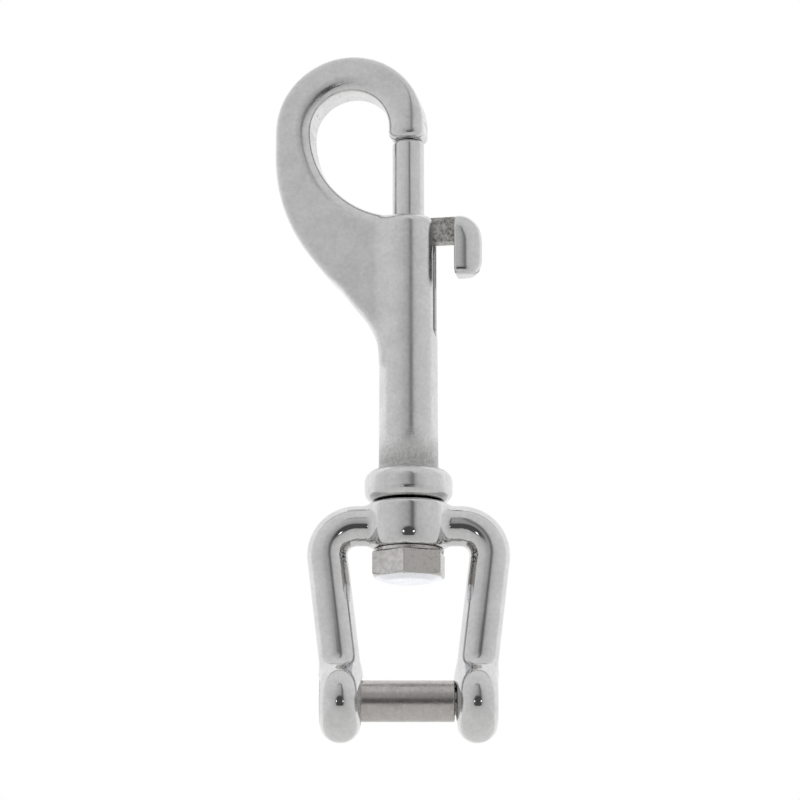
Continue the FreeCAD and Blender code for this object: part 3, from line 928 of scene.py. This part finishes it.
    def casting(self, x: Array, y: Array, z: Array) -> Array:
        """Measure the casting: hook, web, barrel and collar, bored and slotted.

        Args:
            x: Points' X in mm.
            y: Points' Y in mm.
            z: Points' Z in mm.

        Returns:
            Signed distance in mm.
        """
        radius = np.hypot(x, y)
        crown_x = self.hook_stock / 2 - self.hook_outer
        bend = np.degrees(np.arctan2(np.maximum(z - self.crown_level, 0.0), x - crown_x))
        nose = (1.0 - ease(bend, 0.0, self.nose_bend_reach)) * ease(z, self.nose_bar_start,
                                                                    self.nose_bar_end)
        from_eye = np.where(z > self.crown_level,
                            np.hypot(x - crown_x, z - self.crown_level) - self.hook_outer + self.hook_stock,
                            np.hypot(x - crown_x + self.hook_outer - self.hook_stock - self.throat_radius,
                                     z - self.crown_level) - self.throat_radius)
        off_rim = ease(from_eye, self.rim_from, self.rim_to)
        width = self.eye_edge_width + (self.hook_edge - self.eye_edge_width) * off_rim
        height = self.eye_edge + (self.hook_edge - self.eye_edge) * off_rim
        width = width + (self.nose_edge_width - width) * nose
        height = height + (self.nose_edge - height) * nose
        plate = self.corner(self.outline.distance(x, z), np.abs(y) - self.hook_half_depth, width, height)
        below_nose = np.maximum(z - self.nose_end, np.maximum(
            self.nose_bar_start + 1.0 - z, -self.barrel_radius - 0.1 - x))
        plate = carve(plate, below_nose, self.nose_edge_round)
        ball = (self.nose_socket_radius ** 2 + self.nose_socket_rise ** 2) / (2 * self.nose_socket_rise)
        ball_z = self.nose_end + self.nose_socket_rise - ball
        socket = np.maximum(np.hypot(radius, z - ball_z) - ball, self.nose_bar_end + 0.5 - z)
        plate = carve(plate, socket, self.fine_edge)
        turned = (radius - self.web_reach(z)) * math.cos(math.radians(self.tangent_angle))
        clear = self.web_clear * ease(z, self.web_round_from, self.web_round_to)
        plate = -fuse(-plate, -turned + clear, self.web_round)
        barrel = ring_distance(radius, z, self.barrel_radius, self.collar_bottom, self.barrel_top,
                               self.barrel_top_edge)
        fade = 1 - 0.4 * ease(z, self.blend_fade_from, self.blend_fade_to)
        blend = self.web_blend * ease(np.abs(y), 0.8, 3.0) * fade + 0.05
        solid = fuse(plate, barrel, blend)
        rim = np.where(z < self.collar_middle, self.collar_lower_edge, self.collar_edge)
        collar = ring_distance(radius, z, self.collar_radius, self.collar_bottom, self.collar_top, rim)
        solid = fuse(solid, collar, self.collar_blend)
        above = z - self.barrel_top - self.overrun
        bore = np.maximum(np.maximum(radius - self.bore_radius, self.bore_bottom - z), above)
        solid = carve(solid, bore, self.bore_edge)
        floor = np.minimum(z - self.slot_bottom - self.slot_half_width, 0.0)
        slot = np.maximum(np.maximum(np.hypot(y, floor) - self.slot_half_width, self.slot_start - x), above)
        return carve(solid, slot, self.slot_lip)

    def plunger(self, x: Array, y: Array, z: Array) -> Array:
        """Measure the plunger, with its domed top.

        Args:
            x: Points' X in mm.
            y: Points' Y in mm.
            z: Points' Z in mm.

        Returns:
            Signed distance in mm.
        """
        low, high = mm_box("plunger")
        radius = np.hypot(x, y)
        dome = self.plunger_dome * (radius / self.plunger_radius) ** 2
        dome = dome * ease(z, high[2] - 4.0, high[2] - 2.0)
        return ring_distance(radius, z + dome, self.plunger_radius, low[2], high[2], self.plunger_edge)

    def lever(self, x: Array, y: Array, z: Array) -> Array:
        """Measure the thumb lever: tenon, flat stem and D-shaped knob.

        Args:
            x: Points' X in mm.
            y: Points' Y in mm.
            z: Points' Z in mm.

        Returns:
            Signed distance in mm.
        """
        ends = np.maximum(self.stem_start - x, x - self.knob_inner - self.overlap)
        sides = rounded_join(np.abs(y) - self.stem_half_thickness,
                             np.maximum(self.stem_bottom - z, z - self.stem_top), self.fine_edge)
        stem = np.maximum(sides, ends)
        middle = (self.stem_bottom + self.stem_top) / 2
        tenon = ring_distance(np.hypot(y, z - middle), x, self.tenon_radius, self.tenon_tip,
                              self.stem_start + self.overlap, self.tenon_edge)
        shoulder = self.corner(x - self.knob_outer, z - self.knob_top, *self.knob_shoulder)
        face = self.knob_half_depth - (x - self.knob_inner) ** 2 / (2 * self.knob_face_radius)
        knob = self.corner(shoulder, np.abs(y) - face, self.knob_side, self.knob_front_side)
        heel = self.corner(x - self.knob_outer - self.overlap, self.knob_bottom - z, *self.knob_heel)
        knob = carve(knob, -heel, self.knob_heel_edge)
        knob = carve(knob, x - self.knob_inner, self.knob_inner_edge)
        return np.minimum(np.minimum(stem, tenon), knob)

    @staticmethod
    def corner(past_side: Array, past_end: Array, width: Array | float, height: Array | float) -> Array:
        """Measure a corner rounded to a quarter ellipse.

        Args:
            past_side: Distance past the side wall in mm, negative inside.
            past_end: Distance past the end wall in mm, negative inside.
            width: Half-axis of the ellipse across the side wall.
            height: Half-axis of the ellipse across the end wall.

        Returns:
            Signed distance, exact at the surface.
        """
        across, along = past_side / width + 1.0, past_end / height + 1.0
        reach = np.hypot(np.maximum(across, 0.0), np.maximum(along, 0.0)) - 1.0
        inside = np.maximum(past_side, past_end)
        return np.where((across > 0) & (along > 0), reach * np.minimum(width, height), inside)

    def spring(self) -> bpy.types.Object:
        """Coil the spring, with closed turns at both ends.

        Returns:
            The spring's mesh.
        """
        low, high = mm_box("plunger_spring")
        wire = self.spring_wire_radius
        first, last = low[2] + wire, high[2] - wire
        steps_per_turn, sides = 28, 10
        steps = steps_per_turn * self.spring_turns
        turn = np.linspace(0, 1, steps)
        closed = self.spring_closed_turns / self.spring_turns
        closed_rise = 2.2 * wire
        rise = np.interp(turn, [0, closed, 1 - closed, 1],
                         [first, first + closed_rise, last - closed_rise, last])
        angle = turn * self.spring_turns * math.tau
        centre = np.stack([self.spring_radius * np.cos(angle), self.spring_radius * np.sin(angle), rise], 1)
        outward = np.stack([np.cos(angle), np.sin(angle), 0 * angle], 1)
        round_wire = np.linspace(0, math.tau, sides, endpoint=False)
        points = (centre[:, None] + wire * np.cos(round_wire)[None, :, None] * outward[:, None]
                  + wire * np.sin(round_wire)[None, :, None] * np.array([0, 0, 1.0]))
        normals = (np.cos(round_wire)[None, :, None] * outward[:, None]
                   + np.sin(round_wire)[None, :, None] * np.array([0, 0, 1.0]))
        row, column = np.meshgrid(np.arange(steps - 1), np.arange(sides), indexing="ij")
        beside = (column + 1) % sides
        quads = np.stack([row * sides + column, row * sides + beside,
                          (row + 1) * sides + beside, (row + 1) * sides + column], -1).reshape(-1, 4)
        return Mesher.to_object("plunger_spring_skin", points.reshape(-1, 3), quads, normals.reshape(-1, 3))

    def build(self) -> None:
        """Build and dress the four pieces."""
        casting = Mesher(cell=0.26, turn=self.hook_turn).build(
            "snap_body_skin", self.casting, *mm_box("snap_body"))
        finish_piece(casting, Finish.TUMBLED_CASTING, "snap")
        plunger = Mesher(cell=0.2, turn=self.hook_turn).build(
            "plunger_skin", self.plunger, *mm_box("plunger"))
        finish_piece(plunger, Finish.BUFFED_ROD, "plunger")
        lever = Mesher(cell=0.14, turn=self.hook_turn).build(
            "thumb_lever_skin", self.lever, *mm_box("thumb_lever"))
        finish_piece(lever, Finish.LEVER_CASTING, "plunger")
        spring = finish_piece(self.spring(), Finish.DRAWN_WIRE, "snap")
        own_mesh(spring)


@dataclass
class SwivelShackle:
    """The swivel half: fork, bolt, washer and clevis pin.  Sizes are in mm."""

    # boss, drawn in towards its foot
    boss_radius: float = 6.0
    boss_bottom: float = 22.2
    boss_top: float = 29.05
    boss_edge: float = 0.8
    boss_curve: float = 5.6
    boss_curve_level: float = 24.9
    boss_curve_depth: float = 4.0
    boss_bore: float = 3.06
    # arms and ears
    arm_radius: float = 3.0
    arm_level: float = 25.7
    arm_bend: float = 4.3
    arm_lean: float = 6.9
    arm_foot: float = 9.35
    ear_radius: float = 6.05
    ear_inner: float = 6.9
    ear_outer: float = 12.9
    ear_edge: float = 2.9
    boss_blend: float = 0.9
    ear_blend: float = 1.2
    # bores
    jaw_level: float = 15.0
    bore_edge: float = 0.25
    left_bore: float = 3.65
    right_bore: float = 2.52
    # bolt and washer
    head_half_flats: float = 5.0
    head_turn: float = -7.4
    chamfer_angle: float = 22.0
    chamfer_radius: float = 3.5
    chamfer_edge: float = 0.15
    head_top: float = 21.6
    bolt_radius: float = 2.98
    bolt_tip: float = 0.6
    washer_bore: float = 3.2
    crisp_edge: float = 0.12
    # clevis pin
    pin_radius: float = 3.0
    pin_head_radius: float = 3.6
    pin_shoulder: float = 6.6
    pin_neck_radius: float = 2.05
    pin_neck_end: float = 7.8
    pin_thread_radius: float = 2.5
    pin_tip: float = 0.5
    thread_pitch: float = 0.8
    thread_slope: float = 0.42
    socket_half_flats: float = 2.0
    socket_depth: float = 2.8

    def arm_path(self) -> tuple[Line, Arc, Line]:
        """Work out the centreline of one arm.

        Returns:
            The run out of the boss, the bend, and the run down to the ear.
        """
        lean = math.radians(self.arm_lean)
        outward = (math.cos(lean), -math.sin(lean))
        centre_z = self.arm_level - self.arm_bend
        end_z = centre_z + outward[1] * self.arm_bend
        end_x = self.arm_foot + end_z * math.tan(lean)
        centre = (end_x - outward[0] * self.arm_bend, centre_z)
        return (Line((0.0, self.arm_level), (centre[0], self.arm_level)),
                Arc(centre, self.arm_bend, 90, -self.arm_lean),
                Line((end_x, end_z), (self.arm_foot, 0.0)))

    def fork(self, x: Array, y: Array, z: Array) -> Array:
        """Measure the fork: boss, two bent arms and two rounded ears, all bored.

        Args:
            x: Points' X in mm.
            y: Points' Y in mm.
            z: Points' Z in mm.

        Returns:
            Signed distance in mm.
        """
        side = np.abs(x)
        path = [edge.distance(side, z) for edge in self.arm_path()]
        arm = np.hypot(np.minimum(np.minimum(path[0], path[1]), path[2]), y) - self.arm_radius
        ear = ring_distance(np.hypot(y, z), side, self.ear_radius, self.ear_inner, self.ear_outer,
                            self.ear_edge)
        drop = np.clip(self.boss_curve_level - z, 0.0, self.boss_curve_depth)
        drawn_in = self.boss_curve - np.sqrt(self.boss_curve ** 2 - drop ** 2)
        boss = ring_distance(np.hypot(x, y) + drawn_in, z, self.boss_radius, self.boss_bottom,
                             self.boss_top, self.boss_edge - 0.4 * ease(drop, 0.0, 3.0))
        solid = fuse(fuse(arm, ear, self.ear_blend), boss, self.boss_blend)
        pin_bore = np.where(x < 0, self.left_bore, self.right_bore)
        solid = carve(solid, np.hypot(y, z) - pin_bore, self.bore_edge)
        shank_bore = np.maximum(np.hypot(x, y) - self.boss_bore, self.jaw_level - z)
        return carve(solid, shank_bore, self.bore_edge)

    @staticmethod
    def hexagon(x: Array, y: Array, half_flats: float, turn: float) -> Array:
        """Measure a hexagonal bar.

        Args:
            x: Points' place along one axis across the bar, in mm.
            y: Points' place along the other, in mm.
            half_flats: Half the size across flats in mm.
            turn: Angle in degrees by which one corner is turned from -Y.

        Returns:
            Signed distance to the bar's walls in mm.
        """
        walls = []
        for number in range(3):
            angle = math.radians(turn - 60 + 60 * number)
            walls.append(np.abs(x * math.cos(angle) + y * math.sin(angle)) - half_flats)
        return np.maximum(np.maximum(walls[0], walls[1]), walls[2])

    def bolt(self, x: Array, y: Array, z: Array) -> Array:
        """Measure the swivel bolt: hexagon head with turned corners, and shank.

        Args:
            x: Points' X in mm.
            y: Points' Y in mm.
            z: Points' Z in mm.

        Returns:
            Signed distance in mm.
        """
        low, high = mm_box("swivel_bolt")
        radius = np.hypot(x, y)
        walls = self.hexagon(x, y, self.head_half_flats, self.head_turn)
        head = rounded_join(walls, np.maximum(low[2] - z, z - self.head_top), self.crisp_edge)
        slope = math.radians(self.chamfer_angle)
        cone = (radius - self.chamfer_radius) * math.sin(slope) - (z - low[2]) * math.cos(slope)
        head = -fuse(-head, -cone, self.chamfer_edge)
        shank = ring_distance(radius, z, self.bolt_radius, self.head_top - 1, high[2], self.bolt_tip)
        return np.minimum(head, shank)

    def washer(self, x: Array, y: Array, z: Array) -> Array:
        """Measure the washer.

        Args:
            x: Points' X in mm.
            y: Points' Y in mm.
            z: Points' Z in mm.

        Returns:
            Signed distance in mm.
        """
        low, high = mm_box("swivel_washer")
        radius = np.hypot(x, y)
        wall = np.maximum(radius - high[0], self.washer_bore - radius)
        return rounded_join(wall, np.maximum(low[2] - z, z - high[2]), self.crisp_edge)

    def pin(self, x: Array, y: Array, z: Array) -> Array:
        """Measure the clevis pin: socket head, shank, neck and threaded end.

        Args:
            x: Points' X in mm.
            y: Points' Y in mm.
            z: Points' Z in mm.

        Returns:
            Signed distance in mm.
        """
        low, high = mm_box("clevis_pin")
        radius = np.hypot(y, z)
        head = ring_distance(radius, x, self.pin_head_radius, low[0], -self.ear_inner, self.bore_edge)
        shank = ring_distance(radius, x, self.pin_radius, -self.ear_inner - 1, self.pin_shoulder, 0.15)
        neck = ring_distance(radius, x, self.pin_neck_radius, self.pin_shoulder - 1, high[0] - 1, 0.1)
        turn = np.arctan2(z, y) / math.tau + x / self.thread_pitch
        ridge = self.thread_slope * np.abs(turn - np.round(turn)) * self.thread_pitch
        thread = ring_distance(radius + ridge, x, self.pin_thread_radius, self.pin_neck_end, high[0],
                               self.pin_tip)
        solid = np.minimum(np.minimum(head, shank), np.minimum(neck, thread * 0.8))
        socket = np.maximum(self.hexagon(y, z, self.socket_half_flats, 0.0),
                            x - low[0] - self.socket_depth)
        return carve(solid, socket, self.crisp_edge)

    def build(self) -> None:
        """Build and dress the four pieces."""
        fork = Mesher(cell=0.24).build("fork_skin", self.fork, *mm_box("fork"))
        finish_piece(fork, Finish.BUFFED_CASTING, "fork")
        bolt = Mesher(cell=0.14).build("swivel_bolt_skin", self.bolt, *mm_box("swivel_bolt"))
        finish_piece(bolt, Finish.HEADED_BOLT, "snap")
        washer = Mesher(cell=0.11).build("swivel_washer_skin", self.washer, *mm_box("swivel_washer"))
        finish_piece(washer, Finish.HEADED_BOLT, "snap")
        pin = Mesher(cell=0.14).build("clevis_pin_skin", self.pin, *mm_box("clevis_pin"))
        finish_piece(pin, Finish.TURNED_BAR, "clevis_pin")


# ---------------------------------------------------------------- light tent and camera

@dataclass
class LightTent:
    """A white sweep round the hardware, with a grey front screen that the lens looks through.

    The tent is a glowing shell that only reflections see.  Its angles are in degrees, seen from the
    hardware: across is to the right of the lens and rise is above it.  Its lengths are in metres.
    """

    azimuth: float = 0.0
    elevation: float = -13.5
    distance: float = 364 * MM
    target: tuple[float, float, float] = (-1.27 * MM, 0.0, 44.8 * MM)
    lens_mm: float = 110.0
    shell_radius: float = 420 * MM
    shell_step: float = 1.5
    # the screen, by angle away from the lens
    screen_angles: tuple[float, ...] = (0, 15, 22, 30, 40, 50, 65, 85, 96, 101, 108, 180)
    screen_light: tuple[float, ...] = (0.5, 0.52, 0.58, 0.65, 0.72, 0.77, 0.815, 0.86, 0.89, 1.0,
                                       1.12, 1.12)
    screen_edge: float = 100.0
    # the grey gap above the lens
    slit_across: tuple[float, ...] = (-180, -30, -18, -15, -4, 3, 9, 14, 18, 26, 180)
    slit_light: tuple[float, ...] = (1.0, 1.0, 0.92, 0.94, 0.88, 0.68, 0.35, 0.34, 0.7, 1.0, 1.0)
    slit_top: float = 50.0
    # the dark opening for the lens, and a small lamp on each side
    lens_half_width: float = 19.0
    lens_half_height: float = 16.5
    lens_light: float = 0.09
    lamp_across: float = 14.0
    lamp_radius: float = 1.7
    lamp_light: float = 5.0
    floor_size: float = 0.7
    floor_level: float = -0.12

    def __post_init__(self) -> None:
        """Work out the tent's own axes: towards the lens, right and up."""
        turn, lift = math.radians(self.azimuth), math.radians(self.elevation)
        self.toward = Vector((math.sin(turn) * math.cos(lift), -math.cos(turn) * math.cos(lift),
                              math.sin(lift)))
        self.right = Vector((math.cos(turn), math.sin(turn), 0.0))
        self.up = self.right.cross(-self.toward)
        self.centre = self.right * self.target[0] + Vector((0, 0, self.target[2]))

    def light(self, across: Array, rise: Array) -> Array:
        """Work out how bright the shell is.

        Args:
            across: Angle to the right of the lens in degrees.
            rise: Angle above the lens in degrees.

        Returns:
            Brightness of the shell, 1 for white.
        """
        away = np.degrees(np.arccos(np.cos(np.radians(across)) * np.cos(np.radians(rise))))
        bright = np.interp(away, self.screen_angles, self.screen_light)
        edge = np.exp(-((away - self.screen_edge) / 2.4) ** 2)
        bright = bright * (1.0 - 0.5 * edge * ease(np.abs(rise), 15.0, 60.0))
        narrowing = 1.0 + 0.6 * ease(rise, 30.0, self.slit_top)
        slit = np.interp(across * narrowing, self.slit_across, self.slit_light)
        reach = ease(rise, -6.0, 4.0) * (1.0 - ease(rise, self.slit_top - 8.0, self.slit_top + 2.0))
        bright = bright * (1.0 - (1.0 - slit) * reach)
        top_edge = np.exp(-((rise - self.slit_top + across ** 2 / 40.0) / 2.6) ** 2)
        bright = bright * (1.0 - 0.55 * top_edge * (1.0 - ease(np.abs(across), 10.0, 18.0)))
        lens = np.hypot(across / self.lens_half_width, rise / self.lens_half_height)
        bright = self.lens_light + (bright - self.lens_light) * ease(lens, 0.8, 1.15)
        for side in (-1, 1):
            off = np.hypot(across - side * self.lamp_across, rise - 1.0) / self.lamp_radius
            bright = bright + self.lamp_light * (1.0 - ease(off, 0.6, 1.2))
        return bright

    def hang_shell(self) -> None:
        """Hang the shell, with its brightness written at its corners."""
        turns = np.arange(-180, 180, self.shell_step)
        rises = np.arange(-90, 90 + self.shell_step, self.shell_step)
        across, rise = (a.ravel() for a in np.meshgrid(turns, rises, indexing="ij"))
        flat, steep = np.radians(across), np.radians(rise)
        level = np.outer(np.cos(flat), self.toward) + np.outer(np.sin(flat), self.right)
        way = level * np.cos(steep)[:, None] + np.outer(np.sin(steep), self.up)
        points = np.array(self.centre) + way * self.shell_radius
        row, column = np.meshgrid(np.arange(len(turns)), np.arange(len(rises) - 1), indexing="ij")
        beside = (row + 1) % len(turns)
        faces = np.stack([row * len(rises) + column, beside * len(rises) + column,
                          beside * len(rises) + column + 1, row * len(rises) + column + 1], -1)
        mesh = bpy.data.meshes.new("light_shell")
        mesh.from_pydata(points.tolist(), [], faces.reshape(-1, 4).tolist())
        bright = mesh.attributes.new("brightness", "FLOAT", "POINT")
        bright.data.foreach_set("value", self.light(across, rise).astype(np.float32))
        material = bpy.data.materials.new("glowing_screen")
        material.use_nodes = True
        tree = material.node_tree
        tree.nodes.clear()
        strength = node(tree, "Attribute", attribute_name="brightness").outputs["Fac"]
        light = node(tree, "Emission", {"Color": (1.0, 1.0, 1.0, 1.0), "Strength": strength})
        output = node(tree, "OutputMaterial")
        tree.links.new(light.outputs[0], output.inputs["Surface"])
        material.cycles.emission_sampling = "NONE"
        mesh.materials.append(material)
        shell = bpy.data.objects.new("light_shell", mesh)
        bpy.context.scene.collection.objects.link(shell)
        shell.visible_camera = False
        shell.visible_shadow = False

    def build(self) -> None:
        """Hang the shell, lay the floor, light the sweep and set up the camera."""
        self.hang_shell()
        self.lay_floor()
        self.light_sweep()
        self.set_camera()

    def lay_floor(self) -> None:
        """Lay a wide pale floor well below the hanging hardware."""
        bpy.ops.mesh.primitive_plane_add(size=self.floor_size, location=(0, 0, self.floor_level))
        floor = bpy.context.object
        floor.name = "pale_floor"
        material = bpy.data.materials.new("matt_white_paper")
        material.use_nodes = True
        shader = material.node_tree.nodes["Principled BSDF"]
        shader.inputs["Base Color"].default_value = linear("#F2F2F1")
        shader.inputs["Roughness"].default_value = 0.9
        floor.data.materials.append(material)

    def light_sweep(self) -> None:
        """Light everything around from a plain white surround."""
        world = bpy.data.worlds.new("white_sweep")
        world.use_nodes = True
        background = world.node_tree.nodes["Background"]
        background.inputs["Color"].default_value = (1.0, 1.0, 1.0, 1.0)
        background.inputs["Strength"].default_value = 1.0
        bpy.context.scene.world = world
        bpy.context.scene.view_settings.view_transform = "Standard"

    def set_camera(self) -> None:
        """Put the camera where the front screen's opening is."""
        lens = bpy.data.cameras.new("camera")
        lens.lens = self.lens_mm
        lens.clip_start = 0.01
        camera = bpy.data.objects.new("camera", lens)
        bpy.context.scene.collection.objects.link(camera)
        camera.location = self.centre + self.toward * self.distance
        camera.rotation_mode = "QUATERNION"
        camera.rotation_quaternion = (-self.toward).to_track_quat("-Z", "Y")
        bpy.context.scene.camera = camera


def main() -> None:
    """Build both halves of the hardware, then the light tent around them."""
    logging.basicConfig(level=logging.INFO, format="%(name)s: %(message)s")
    MATERIALS.update({finish: finish.value.make() for finish in Finish})
    for assembly in (SnapHook(), SwivelShackle(), LightTent()):
        assembly.build()


if __name__ == "__main__":
    main()
